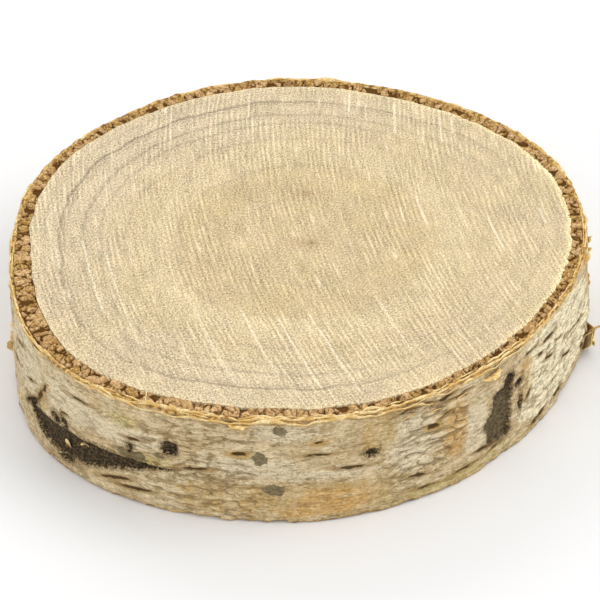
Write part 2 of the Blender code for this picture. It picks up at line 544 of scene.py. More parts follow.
class Recipe:
    """A material's nodes, added step by step. Every step returns the socket that it makes."""

    def __init__(self, name):
        self.material = bpy.data.materials.new(name)
        self.material.use_nodes = True
        self.nodes = self.material.node_tree.nodes
        self.links = self.material.node_tree.links
        self.shader = self.nodes["Principled BSDF"]

    def node(self, kind, **settings):
        made = self.nodes.new(kind)
        for key, value in settings.items():
            setattr(made, key, value)
        return made

    def feed(self, socket, value):
        if isinstance(value, bpy.types.NodeSocket):
            self.links.new(value, socket)
        elif value is not None:
            socket.default_value = (*value, 1.0) if socket.type == "RGBA" else value

    def math(self, operation, first, second=None):
        made = self.node("ShaderNodeMath", operation=operation)
        self.feed(made.inputs[0], first)
        self.feed(made.inputs[1], second)
        return made.outputs[0]

    def plus(self, first, second):
        return self.math("ADD", first, second)

    def minus(self, first, second):
        return self.math("SUBTRACT", first, second)

    def times(self, first, second):
        return self.math("MULTIPLY", first, second)

    def swing(self, pattern, amount):
        """A pattern that lies round 0.5, moved to lie round 0 and scaled."""
        return self.times(self.minus(pattern, 0.5), amount)

    def off(self, value, middle):
        """How far a value is from a middle one, on either side."""
        return self.math("ABSOLUTE", self.minus(value, middle))

    def vector(self, x, y, z=0.0):
        made = self.node("ShaderNodeCombineXYZ")
        for socket, value in zip(made.inputs, (x, y, z)):
            self.feed(socket, value)
        return made.outputs[0]

    def split(self, vector):
        made = self.node("ShaderNodeSeparateXYZ")
        self.feed(made.inputs[0], vector)
        return made.outputs

    def place(self):
        """Object coordinates in mm, from the middle of the branch."""
        coordinates = self.node("ShaderNodeTexCoord")
        mapping = self.node("ShaderNodeMapping")
        self.feed(mapping.inputs["Vector"], coordinates.outputs["Object"])
        mapping.inputs["Scale"].default_value = (1.0 / MM,) * 3
        mapping.inputs["Location"].default_value = (-MIDDLE[0] / MM, -MIDDLE[1] / MM, 0.0)
        return mapping.outputs[0]

    def noise(self, vector, scale, detail, roughness, distortion=0.0):
        made = self.node("ShaderNodeTexNoise")
        self.feed(made.inputs["Vector"], vector)
        made.inputs["Scale"].default_value = scale
        made.inputs["Detail"].default_value = detail
        made.inputs["Roughness"].default_value = roughness
        made.inputs["Distortion"].default_value = distortion
        return made.outputs["Fac"]

    def stretched_noise(self, vector, x, y, z, detail, roughness, distortion=0.0):
        """Noise with x, y and z for its scale along each axis."""
        mapping = self.node("ShaderNodeMapping")
        self.feed(mapping.inputs["Vector"], vector)
        mapping.inputs["Scale"].default_value = (x, y, z)
        return self.noise(mapping.outputs[0], 1.0, detail, roughness, distortion)

    def layer(self, name):
        made = self.node("ShaderNodeAttribute", attribute_name=name)
        return made.outputs["Fac"]

    def step(self, value, low, high, to_low, to_high):
        made = self.node("ShaderNodeMapRange", interpolation_type="SMOOTHSTEP")
        self.feed(made.inputs["Value"], value)
        made.inputs["From Min"].default_value = low
        made.inputs["From Max"].default_value = high
        made.inputs["To Min"].default_value = to_low
        made.inputs["To Max"].default_value = to_high
        return made.outputs[0]

    def rise(self, value, low, high, strength=1.0):
        """0 below low, the strength above high, and a smooth step between them."""
        return self.step(value, low, high, 0.0, strength)

    def fall(self, value, low, high, strength=1.0):
        """The strength below low, 0 above high, and a smooth step between them."""
        return self.step(value, low, high, strength, 0.0)

    def mix(self, factor, first, second):
        made = self.node("ShaderNodeMix", data_type="RGBA")
        self.feed(made.inputs[0], factor)
        self.feed(made.inputs[6], first)
        self.feed(made.inputs[7], second)
        return made.outputs[2]

    def tint(self, colour, factor, *channels):
        """The colour mixed with another one, which is given as it is seen on a screen, 0 to 255."""
        return self.mix(factor, colour, to_linear(*channels))

    def shade(self, colour, factor):
        """The colour times a number that varies over the surface."""
        made = self.node("ShaderNodeVectorMath", operation="SCALE")
        self.feed(made.inputs[0], colour)
        self.feed(made.inputs["Scale"], factor)
        return made.outputs[0]

    def bump(self, height, distance, strength=1.0):
        made = self.node("ShaderNodeBump")
        made.inputs["Strength"].default_value = strength
        made.inputs["Distance"].default_value = distance
        self.feed(made.inputs["Height"], height)
        return made.outputs[0]

    def finish(self, colour, roughness, normal, specular):
        self.feed(self.shader.inputs["Base Color"], colour)
        self.feed(self.shader.inputs["Roughness"], roughness)
        self.feed(self.shader.inputs["Normal"], normal)
        self.shader.inputs["Specular IOR Level"].default_value = specular
        return self.material


def wood_material(colours, sizes):
    recipe = Recipe("sawn_birch")
    place = recipe.place()
    x, y, _ = recipe.split(place)
    saw_x = SAW_CENTRE[0] / MM
    saw_y = SAW_CENTRE[1] / MM
    from_saw_x = recipe.minus(saw_x, x)
    from_saw_y = recipe.minus(y, saw_y)
    reach = recipe.math("SQRT", recipe.plus(
        recipe.times(from_saw_x, from_saw_x), recipe.times(from_saw_y, from_saw_y)))
    along = recipe.times(recipe.math("ARCTAN2", from_saw_y, from_saw_x), SAW_RADIUS / MM)
    pitch = sizes.saw_pitch / MM
    saw = recipe.vector(recipe.math("DIVIDE", reach, pitch), recipe.math("DIVIDE", along, pitch))
    streaks = recipe.stretched_noise(saw, 1.1, 0.07, 1.0, 2.0, 0.6)
    dashes = recipe.stretched_noise(saw, 2.4, 0.22, 1.0, 2.0, 0.6)
    speckle = recipe.stretched_noise(saw, 2.9, 2.5, 1.0, 2.0, 0.75)
    zones = recipe.stretched_noise(saw, 0.10, 0.06, 1.0, 2.0, 0.5)
    sway = recipe.stretched_noise(saw, 0.25, 0.05, 1.0, 1.0, 0.5)
    phase = recipe.plus(recipe.math("DIVIDE", reach, pitch), recipe.times(sway, 1.6))
    tooth = recipe.math("SINE", recipe.times(phase, FULL_TURN))
    lines = recipe.times(recipe.rise(zones, 0.42, 0.58), recipe.rise(dashes, 0.38, 0.52))
    mottle = recipe.noise(place, 0.16, 4.0, 0.6)
    tint = recipe.noise(place, 0.11, 3.0, 0.55, 0.4)

    growth = recipe.layer("growth")
    wavy_growth = recipe.plus(growth, recipe.swing(mottle, 0.05))
    colour = recipe.mix(recipe.rise(wavy_growth, 0.30, 0.72), colours.wood_warm, colours.wood_pale)
    colour = recipe.tint(colour, recipe.rise(tint, 0.48, 0.64, 0.40), 198, 176, 144)
    colour = recipe.tint(colour, recipe.fall(tint, 0.36, 0.50, 0.35), 198, 178, 132)
    young = recipe.times(recipe.rise(wavy_growth, 0.50, 0.85, 0.50), recipe.layer("ring_show"))
    colour = recipe.tint(colour, young, 206, 189, 163)
    pale_band = recipe.off(wavy_growth, 0.545)
    colour = recipe.tint(colour, recipe.fall(pale_band, 0.02, 0.11, 0.42), 212, 194, 158)
    warm_band = recipe.off(wavy_growth, 0.40)
    colour = recipe.tint(colour, recipe.fall(warm_band, 0.02, 0.14, 0.28), 192, 170, 126)
    fine_rings = recipe.noise(recipe.vector(recipe.times(wavy_growth, 40.0), 0.0), 1.0, 3.0, 0.6)
    rings = recipe.times(recipe.rise(fine_rings, 0.50, 0.70), recipe.rise(growth, 0.35, 0.8))
    shown = recipe.times(rings, 0.22)
    for middle, half, strength in GROWTH_RINGS:
        off = recipe.off(wavy_growth, middle)
        shown = recipe.math("MAXIMUM", shown, recipe.fall(off, half * 0.3, half * 1.6, strength))
    shown = recipe.times(shown, recipe.layer("ring_show"))
    colour = recipe.mix(shown, colour, colours.wood_ring)
    colour = recipe.tint(colour, recipe.layer("smudge"), 168, 140, 104)
    # The pale edge of the wood, with painted highlight on the side towards the key lamp
    colour = recipe.tint(colour, recipe.layer("cream_and_highlight"), 236, 218, 168)

    light = recipe.swing(speckle, 2.8)
    for pattern, share in ((dashes, 0.70), (streaks, 0.45), (mottle, 0.45)):
        part = recipe.swing(pattern, share)
        light = recipe.plus(light, part)
    light = recipe.plus(light, recipe.times(recipe.times(tooth, lines), 0.19))
    colour = recipe.shade(colour, recipe.plus(light, 1.0))
    bright = recipe.times(recipe.rise(streaks, 0.58, 0.70, 0.8), recipe.rise(dashes, 0.50, 0.62))
    for from_x, from_y, to_x, to_y, width, strength in SCRATCHES:
        start = math.hypot(saw_x - from_x, saw_y - from_y)
        first = math.atan2(from_y - saw_y, saw_x - from_x) * SAW_RADIUS / MM
        last = math.atan2(to_y - saw_y, saw_x - to_x) * SAW_RADIUS / MM
        off = recipe.off(reach, start)
        line = recipe.fall(off, width * 0.4, width, strength)
        beyond = recipe.off(along, (first + last) / 2.0)
        length = abs(last - first)
        span = recipe.fall(beyond, length * 0.4, length * 0.5)
        line = recipe.times(recipe.times(line, span), recipe.rise(speckle, 0.30, 0.55))
        bright = recipe.math("MAXIMUM", bright, line)
    colour = recipe.tint(colour, recipe.times(bright, 0.70), 246, 234, 204)
    colour = recipe.tint(colour, recipe.layer("pith"), 132, 102, 62)

    height = recipe.plus(recipe.times(dashes, 0.6), recipe.times(speckle, 0.5))
    normal = recipe.bump(height, 0.14 * MM, 0.7)
    roughness = recipe.step(speckle, 0.3, 0.7, 0.85, 0.68)
    return recipe.finish(colour, roughness, normal, 0.2)


def cork_material(colours):
    recipe = Recipe("birch_cork")
    place = recipe.place()
    fine = recipe.noise(place, 2.3, 4.0, 0.75)
    lumps = recipe.noise(place, 0.35, 3.0, 0.6)
    gap = recipe.layer("gap")
    tone = recipe.layer("tone")
    mixed = recipe.plus(recipe.times(tone, 0.6), recipe.times(lumps, 0.4))
    colour = recipe.mix(recipe.rise(mixed, 0.25, 0.75), to_linear(178, 139, 72), colours.cork_grain)
    colour = recipe.tint(colour, recipe.rise(lumps, 0.52, 0.66, 0.55), 168, 128, 62)
    colour = recipe.tint(colour, recipe.rise(fine, 0.52, 0.64, 0.75), 246, 214, 168)
    colour = recipe.tint(colour, recipe.fall(fine, 0.37, 0.49, 0.90), 118, 80, 34)
    rough_gap = recipe.plus(gap, recipe.swing(fine, 1.1))
    colour = recipe.mix(recipe.rise(rough_gap, 0.28, 0.70), colour, colours.cork_dark)
    normal = recipe.bump(fine, 0.25 * MM, 0.8)
    return recipe.finish(colour, recipe.step(fine, 0.3, 0.7, 0.92, 0.78), normal, 0.15)


def paper_material(name, colours):
    """Torn edges and curls of the paper bark: thin golden layers, with painted shade where they are deep,
    towards their roots.
    """
    recipe = Recipe(name)
    place = recipe.place()
    layered = recipe.stretched_noise(place, 0.6, 0.6, 6.0, 3.0, 0.6, 0.3)
    patches = recipe.noise(place, 0.38, 3.0, 0.6)
    stains = recipe.noise(place, 0.75, 3.0, 0.6)
    fine = recipe.noise(place, 3.5, 3.0, 0.7)
    tip = recipe.layer("tip")
    colour = recipe.mix(recipe.rise(patches, 0.40, 0.60), colours.paper_gold, colours.paper_cream)
    colour = recipe.tint(colour, recipe.rise(stains, 0.55, 0.68, 0.55), 176, 130, 72)
    colour = recipe.tint(colour, recipe.rise(layered, 0.54, 0.70, 0.50), 150, 104, 44)
    # Painted shade towards the root of each paper layer and flap
    colour = recipe.tint(colour, recipe.fall(tip, 0.10, 0.80, 0.92), 102, 66, 22)
    colour = recipe.shade(colour, recipe.step(fine, 0.25, 0.75, 0.70, 1.22))
    normal = recipe.bump(recipe.plus(layered, fine), 0.10 * MM, 0.8)
    return recipe.finish(colour, recipe.step(fine, 0.3, 0.7, 0.76, 0.58), normal, 0.25)


def bark_material(colours):
    recipe = Recipe("paper_bark")
    place = recipe.place()
    grain = recipe.stretched_noise(place, 0.32, 0.32, 2.2, 4.0, 0.65, 0.3)
    fibres = recipe.stretched_noise(place, 1.1, 1.1, 6.0, 3.0, 0.65)
    patches = recipe.stretched_noise(place, 0.16, 0.16, 0.30, 4.0, 0.6, 0.3)
    blotches = recipe.stretched_noise(place, 0.42, 0.42, 0.70, 3.0, 0.6, 0.4)
    fine = recipe.stretched_noise(place, 1.6, 1.6, 2.6, 4.0, 0.7)
    streams = recipe.stretched_noise(place, 0.55, 0.55, 0.07, 3.0, 0.6)
    ragged = recipe.minus(recipe.noise(place, 1.3, 3.0, 0.65), 0.5)
    shredded = recipe.minus(recipe.stretched_noise(place, 0.7, 0.7, 3.0, 3.0, 0.65), 0.5)
    jagged = recipe.plus(ragged, recipe.minus(recipe.noise(place, 2.9, 2.0, 0.6), 0.5))
    seams = recipe.stretched_noise(place, 0.24, 0.24, 1.0, 3.0, 0.6, 0.8)

    def mask(kind, noise_mm, soft_mm, strength=1.0, inside=0.0, edge=ragged):
        field = recipe.plus(recipe.layer(kind), recipe.times(edge, noise_mm))
        return recipe.rise(field, inside - soft_mm, inside + soft_mm, strength)

    colour = recipe.mix(recipe.rise(patches, 0.42, 0.58), colours.bark_beige, to_linear(216, 196, 156))
    colour = recipe.tint(colour, recipe.rise(blotches, 0.51, 0.62, 0.60), 170, 150, 110)
    colour = recipe.tint(colour, recipe.fall(blotches, 0.38, 0.47, 0.50), 228, 202, 164)
    colour = recipe.mix(mask("chalk", 5.0, 0.35, 0.85), colour, colours.bark_chalk)
    # Pale bark on the right, brightened further as painted light from the key lamp
    colour = recipe.tint(colour, mask("cream_and_highlight", 5.0, 0.35, 0.95), 254, 242, 206)
    peeled = recipe.times(mask("tan", 4.0, 0.35, 0.90), recipe.step(streams, 0.40, 0.56, 0.45, 1.0))
    colour = recipe.mix(peeled, colour, colours.bark_tan)
    colour = recipe.mix(mask("moss", 4.0, 0.5, 0.60), colour, colours.bark_moss)
    colour = recipe.mix(mask("orange", 1.8, 0.70, 0.82), colour, colours.bark_orange)
    colour = recipe.tint(colour, recipe.rise(grain, 0.50, 0.66, 0.38), 236, 218, 178)
    colour = recipe.tint(colour, recipe.fall(grain, 0.32, 0.46, 0.55), 142, 116, 70)
    colour = recipe.tint(colour, recipe.rise(fine, 0.55, 0.66, 0.55), 116, 90, 50)
    colour = recipe.tint(colour, recipe.fall(fine, 0.36, 0.46, 0.45), 244, 226, 186)
    # Painted shade in the hollows of the wrinkles and painted highlight on their crests
    wrinkle_shading = recipe.plus(recipe.layer("wrinkle_shading"), recipe.times(ragged, 0.5))
    colour = recipe.tint(colour, recipe.fall(wrinkle_shading, -0.55, -0.10, 0.55), 128, 102, 62)
    colour = recipe.tint(colour, recipe.rise(wrinkle_shading, 0.15, 0.55, 0.45), 240, 226, 190)
    seam = recipe.fall(recipe.off(seams, 0.5), 0.004, 0.016, 0.60)
    seam = recipe.times(seam, recipe.rise(blotches, 0.46, 0.56))
    colour = recipe.tint(colour, seam, 104, 80, 44)
    colour = recipe.tint(colour, mask("slit", 1.4, 0.40, 0.60, -0.55, shredded), 156, 124, 70)
    lichen = recipe.mix(recipe.rise(fine, 0.40, 0.60), colours.spot_grey, to_linear(134, 120, 88))
    colour = recipe.tint(colour, mask("lenticel_lip", 1.0, 0.30, 0.7), 198, 162, 98)
    colour = recipe.mix(mask("spot", 1.6, 0.09, 0.92), colour, lichen)
    colour = recipe.tint(colour, mask("slit", 1.3, 0.16, 0.92, 0.22, shredded), 74, 54, 28)
    colour = recipe.tint(colour, mask("scar", 2.2, 0.25, 0.60, -0.45, jagged), 118, 92, 50)
    grey_ash = recipe.rise(fine, 0.36, 0.58)
    burnt = recipe.mix(recipe.rise(fine, 0.44, 0.64), colours.scar_black, to_linear(104, 84, 56))
    ash = recipe.mix(grey_ash, to_linear(72, 60, 40), to_linear(122, 106, 76))
    burnt = recipe.mix(mask("ash", 2.0, 0.9, 0.75), burnt, ash)
    colour = recipe.mix(mask("scar", 1.2, 0.12, 0.97, 0.0, jagged), colour, burnt)
    colour = recipe.shade(colour, recipe.step(fibres, 0.25, 0.75, 0.74, 1.24))
    torn = recipe.mix(recipe.rise(ragged, -0.12, 0.12), colours.paper_gold, to_linear(136, 96, 48))
    colour = recipe.mix(recipe.layer("rim"), colour, torn)
    height = recipe.plus(recipe.times(grain, 0.7), recipe.times(fibres, 0.4))
    normal = recipe.bump(recipe.plus(height, recipe.times(fine, 0.7)), 0.42 * MM, 1.0)
    return recipe.finish(colour, recipe.step(grain, 0.3, 0.7, 0.88, 0.70), normal, 0.2)


# ---------------------------------------------------------------------------------------------------
# Pieces


def face_spot(x, y, right, back, half_width, half_depth):
    """1 at a place on the sawn face, given in mm from the middle of the branch, and less all round it."""
    across = ((x - MIDDLE[0]) / MM - right) / half_width
    along = ((y - MIDDLE[1]) / MM - back) / half_depth
    return np.exp(-across * across - along * along)


def build_wood(sizes, colours):
    """The sawn wood: both faces keep shallow saw marks in the mesh, and the finer ones in the finish."""
    piece = round_plate("sawn_wood", WOOD_STEPS)
    share = read_layer(piece, "share")
    angle = read_layer(piece, "turn") * FULL_TURN
    upper = read_layer(piece, "upper") > 0.5
    edge = wood_radius(angle, sizes)
    x = MIDDLE[0] + (1.0 - share) * PITH[0] + share * edge * np.cos(angle)
    y = MIDDLE[1] + (1.0 - share) * PITH[1] + share * edge * np.sin(angle)

    from_saw_x = MIDDLE[0] + SAW_CENTRE[0] - x
    from_saw_y = y - MIDDLE[1] - SAW_CENTRE[1]
    reach = np.hypot(from_saw_x, from_saw_y)
    along = np.arctan2(from_saw_y, from_saw_x) * SAW_RADIUS
    saw_points = np.stack([reach, along, np.where(upper, 0.0, 0.5)], axis=-1)
    marks = grain_noise(saw_points, (1.6 * MM, 22.0 * MM, 1.0), 1.0) * 0.030 * MM
    marks += grain_noise(saw_points, (6.0 * MM, 60.0 * MM, 1.0), 2.0) * 0.050 * MM
    sunk = 0.08 * MM
    z = np.where(upper, THICKNESS - sunk + marks, sunk * 0.5 - marks * 0.5)
    at_edge = smooth_step(share, 0.990, 1.0)
    z += np.where(upper, -0.10, 0.10) * at_edge * MM
    place_vertices(piece, x, y, np.maximum(z, 0.0))

    write_layer(piece, "growth", share)
    left_back = bell(angle, 125.0, 55.0)
    front = bell(angle, 262.0, 30.0)
    left = bell(angle, 190.0, 35.0)
    write_layer(piece, "ring_show", np.clip(0.35 + 0.65 * left_back + 0.45 * front + 0.20 * left, 0.0, 1.0))
    # Pale edge of the wood, brightened much more on the side towards the key lamp as painted highlight
    lit = 0.15 + 0.85 * bell(angle, 15.0, 60.0)
    write_layer(piece, "cream_and_highlight", smooth_step(share, 0.974, 0.992) * lit * 0.85)
    smudge = face_spot(x, y, 2.5, 13.2, 2.6, 1.3) * 0.6
    halo = face_spot(x, y, 1.6, -1.9, 3.2, 2.0) * 0.45
    write_layer(piece, "smudge", smudge + halo)
    write_layer(piece, "pith", face_spot(x, y, 3.0, -1.8, 0.35, 0.55) * 0.8)
    drop_layers(piece, "share", "turn", "upper")
    finish_piece(piece, wood_material(colours, sizes), 40.0)


def cork_cells(points, grain):
    """For each point: how far it is from a gap between grains, and a number for its grain."""
    gaps = np.empty(len(points))
    tones = np.empty(len(points))
    for index, point in enumerate((points / grain).tolist()):
        distances, nearest = noise.voronoi(point)
        gaps[index] = distances[1] - distances[0]
        cell = nearest[0]
        mixed = cell[0] * 12.9898 + cell[1] * 78.233 + cell[2] * 37.719
        tones[index] = math.sin(mixed) * 43758.5453 % 1.0  # any number, but always the same for a grain
    return gaps, tones


def build_cork(sizes, colours):
    """The ring of cork between wood and paper bark: hard grains with crumbled gaps, on both faces. Its
    outer wall stands back, so that no scar of the bark reaches it."""
    piece, angle, depth, height = walked_band("cork_ring", CORK_AROUND, CORK_WALK)
    outer = branch_radius(angle) - sizes.paper_thickness * 0.9
    inner = wood_radius(angle, sizes) - 0.05 * MM
    radius = outer + (inner - outer) * depth

    # Grains, the gaps between them and smaller cracks, all a little longer across the ring than round it
    squeezed = MEAN_RADIUS + (radius - MEAN_RADIUS) * 0.5
    flat = np.stack([squeezed * np.cos(angle), squeezed * np.sin(angle), height * 0.03], axis=-1)
    wobble = bark_noise(flat, 0.45, 0.45, 5.0)
    swirl = bark_noise(flat, 1.6, 1.6, 5.5)
    bent = flat + np.stack([swirl, -swirl, swirl], axis=-1) * 0.25 * MM
    gaps, tones = cork_cells(bent, sizes.cork_grain)
    small_gaps, small_tones = cork_cells(bent + 0.5, sizes.cork_grain * 0.42)
    gap = (1.0 - smooth_step(gaps + wobble * 0.10, 0.01, 0.18)) * (0.85 + 0.6 * swirl)
    cracks = 1.0 - smooth_step(small_gaps + wobble * 0.10, 0.02, 0.22)
    cracks *= smooth_step(swirl, -0.35, 0.25) * 0.60 * (1.0 + 0.8 * bell(angle, 322.0, 32.0))
    pit = smooth_step(tones, 0.90, 0.94)
    # Along the wood's edge the cork is sunk and darkened: a torn groove whose dark line is partly the cork's
    # own gap colour and partly painted shade
    beside_wood = smooth_step(depth, 0.93, 0.98) * (0.6 + 0.4 * rim_noise(angle, 1.5, 6.0))
    beside_paper = smooth_step(0.08 - depth, 0.0, 0.06) * 0.7
    gap = np.clip(np.maximum.reduce([gap, cracks, pit, beside_wood, beside_paper]), 0.0, 1.0)

    # How far each place lies below the sawn faces
    uneven = (0.5 - tones) * 0.25 + (0.5 - small_tones) * 0.08 + wobble * 0.06 + 0.08
    fall = np.clip(gap * sizes.cork_depth + uneven * MM, 0.0, 1.2 * MM)
    z = height * THICKNESS + np.where(height < 0.001, fall, 0.0) - np.where(height > 0.999, fall, 0.0)
    place_round(piece, radius, angle, z)
    in_front = bell(angle, 262.0, 28.0)
    write_layer(piece, "gap", gap * (1.0 - 0.25 * in_front))
    write_layer(piece, "tone", np.clip(tones + 0.45 * in_front, 0.0, 1.0))
    finish_piece(piece, cork_material(colours))


def build_bark(sizes, colours):
    """The paper bark round the side, with its scars, lenticels and stains as fields kept at its vertices."""
    piece, angle, depth, height = walked_band("paper_bark", BARK_AROUND, BARK_WALK)
    ragged_top = rim_noise(angle, 2.5, 8.0) * 0.30 + rim_noise(angle, 0.8, 9.0) * 0.15
    ragged_base = np.abs(rim_noise(angle, 3.5, 10.0)) * 0.9 + np.abs(rim_noise(angle, 1.0, 11.0)) * 0.3
    in_front = bell(angle, 268.0, 62.0)
    top = THICKNESS + (ragged_top * (1.0 + 0.8 * in_front) - 0.15 - 0.60 * in_front) * MM
    base = (0.05 + ragged_base) * MM
    z = base + (top - base) * height
    height_mm = z / MM
    fields = {}
    for kind, marks in all_marks(sizes.seed).items():
        sharpness = SLIT_SHARPNESS if kind == "slit" else 1.0
        fields[kind] = mark_field(angle, height_mm, marks, sharpness)
    fields["scar"] = np.maximum(fields["scar"], boat_field(angle, height_mm))

    surface = branch_radius(angle)
    points = np.stack([surface * np.cos(angle), surface * np.sin(angle), z], axis=-1)
    relief = bark_relief(angle, z / THICKNESS)
    relief += bark_noise(points, 14.0, 9.0, 20.0) * 0.30 * MM

    # Wrinkles that lie round the branch, higher where the bark is crumpled
    crumpled = bell(angle, 296.0, 7.0) * np.exp(-((height_mm - 15.0) / 7.0) ** 2)
    crumpled += 0.30 * bell(angle, 335.0, 22.0) + 0.5 * bell(angle, 208.0, 9.0)
    crumpled += 0.8 * smooth_step(bark_noise(points, 22.0, 22.0, 26.0), 0.1, 0.5)
    wrinkles = bark_noise(points, 5.5, 1.0, 21.0) + bark_noise(points, 2.0, 0.55, 22.0)
    wrinkles *= 0.14 * MM * (1.0 + crumpled)
    folds = np.abs(bark_noise(points, 3.2, 1.3, 27.0))
    wrinkles -= (1.0 - smooth_step(folds, 0.0, 0.14)) * 0.32 * MM * np.clip(crumpled, 0.15, 1.0)
    relief += wrinkles

    # Marks that stand in or out of the bark
    rough = bark_noise(points, 0.8, 0.8, 23.0)
    in_scar = smooth_step(fields["scar"], -0.15, 0.35)
    near_scar = smooth_step(fields["scar"], -0.9, -0.1) * (1.0 - in_scar)
    relief += (near_scar * 0.22 - in_scar * (0.45 + rough * 0.16)) * MM
    relief -= smooth_step(fields["slit"], 0.0, 0.8) * 0.28 * MM
    relief += smooth_step(fields["slit"], -1.0, -0.2) * 0.07 * MM
    lip = smooth_step(fields["lenticel"], -0.35, 0.2)
    mouth = smooth_step(fields["lenticel"], 0.18, 0.5)
    relief += (lip * 0.28 - mouth * 0.65) * MM
    relief += smooth_step(fields["spot"], -0.2, 0.4) * (0.10 + rough * 0.06) * MM
    lifted = bell(angle, 294.0, 4.5) * np.exp(-((height_mm - 18.0) / 3.0) ** 2)
    relief += lifted * (rough * 0.28 + bark_noise(points, 2.5, 0.7, 24.0) * 0.45) * MM

    # Both rims are rolled in a little, and the inside stays behind the outside where that goes deep
    rolled_in = smooth_step(np.maximum(height, 1.0 - height), 0.975, 1.0) * 0.12 * MM
    relief = np.maximum(relief, -DEEPEST_SCAR)
    outer = surface + relief - rolled_in
    inner = surface - sizes.paper_thickness
    radius = outer + (np.minimum(inner, outer - 0.15 * MM) - outer) * depth
    place_round(piece, radius, angle, z)

    # What the material reads: a lenticel is a lip round a slit, rims are torn, and the wrinkles' relief
    # gives painted shade in their hollows and painted highlight on their crests
    fields["lenticel_lip"] = fields.pop("lenticel")
    fields["slit"] = np.maximum(fields["slit"], (fields["lenticel_lip"] - 0.26) * SLIT_SHARPNESS)
    fields["rim"] = np.maximum.reduce([
        smooth_step(depth, 0.0, 0.2),
        smooth_step(height, 0.982, 0.994),
        smooth_step(1.0 - height, 0.978, 0.992) * 0.8,
    ])
    # The wrinkles' relief, which the material turns into painted shade and painted highlight
    fields["wrinkle_shading"] = np.clip(wrinkles / (0.35 * MM), -1.0, 1.0)
    for kind, field in fields.items():
        write_layer(piece, kind, field)
    finish_piece(piece, bark_material(colours))


def rim_sheet(name, seed, inset, lift, lean, tall, thickness, strength, at_top=True):
    """One thin layer of paper bark round a rim, all lengths in mm. lift is how far its torn edge reaches
    over the sawn face, lean how far it bends outwards, tall how far down the bark it is seen, and strength
    how much of it is left, from 0 to 1, at each angle: where it is 0 the edge has sunk behind the bark."""
    piece, angle, depth, height = walked_band(name, RIM_AROUND, RIM_WALK)
    left = np.clip(strength(angle), 0.0, 1.0)
    wander = rim_noise(angle, 7.0, seed) + 0.5 * rim_noise(angle, 2.2, seed + 0.3)
    crumple = rim_noise(angle, 0.9, seed + 0.5)
    torn = rim_noise(angle, 4.0, seed + 0.6) + 0.5 * rim_noise(angle, 1.3, seed + 0.8)
    bend = smooth_step(wander, -0.6, 0.9) * left
    wavy = bell(angle, 265.0, 55.0)
    edge = lift + torn * (0.50 + 0.30 * wavy) - (1.0 - left) * 0.9
    up = (-tall + (np.clip(edge, -1.3, 0.35) + tall) * height) * MM
    share = np.full(np.shape(angle), 0.98 if at_top else 0.02)
    out = -inset + wander * (0.22 + 0.22 * wavy) + crumple * 0.11 * height + bend * lean * height ** 2
    out -= (1.0 - height) ** 2 * 0.55 + (1.0 - left) * 0.35 + depth * thickness
    radius = branch_radius(angle) + bark_relief(angle, share) + out * MM
    z = THICKNESS + up if at_top else np.maximum(-up, 0.02 * MM)
    place_round(piece, radius, angle, z)
    write_layer(piece, "tip", height)
    return piece


def join_pieces(name, pieces):
    """One object from several, with their meshes together."""
    bm = bmesh.new()
    for piece in pieces:
        bm.from_mesh(piece.data)
        bpy.data.objects.remove(piece, do_unlink=True)
    return new_piece(name, bm)


def build_rim_papers(colours):
    """Torn layers of paper bark: two or three round the upper rim and two round the lower one."""

    def everywhere(angle):
        return 0.80 + 0.4 * rim_noise(angle, 9.0, 60.0)

    def in_stretches(angle):
        front = bell(angle, 275.0, 75.0)
        return 0.35 + 0.5 * front + 0.9 * rim_noise(angle, 12.0, 61.0)

    def seldom(angle):
        return 1.6 * rim_noise(angle, 10.0, 62.0) - 0.1

    upper = join_pieces("upper_rim_papers", [
        rim_sheet("paper_a", 31.0, 0.34, -0.10, 0.00, 1.3, 0.15, everywhere),
        rim_sheet("paper_b", 33.0, 0.00, -0.10, 0.20, 1.5, 0.27, everywhere),
        rim_sheet("paper_c", 35.0, -0.22, -0.55, 0.45, 1.9, 0.20, in_stretches),
    ])
    finish_piece(upper, paper_material("torn_paper", colours))
    lower = join_pieces("lower_rim_papers", [
        rim_sheet("paper_d", 41.0, 0.40, -0.25, 0.10, 1.2, 0.20, in_stretches, at_top=False),
        rim_sheet("paper_e", 43.0, 0.05, -0.60, 0.35, 1.3, 0.18, seldom, at_top=False),
    ])
    finish_piece(lower, paper_material("torn_paper_low", colours))


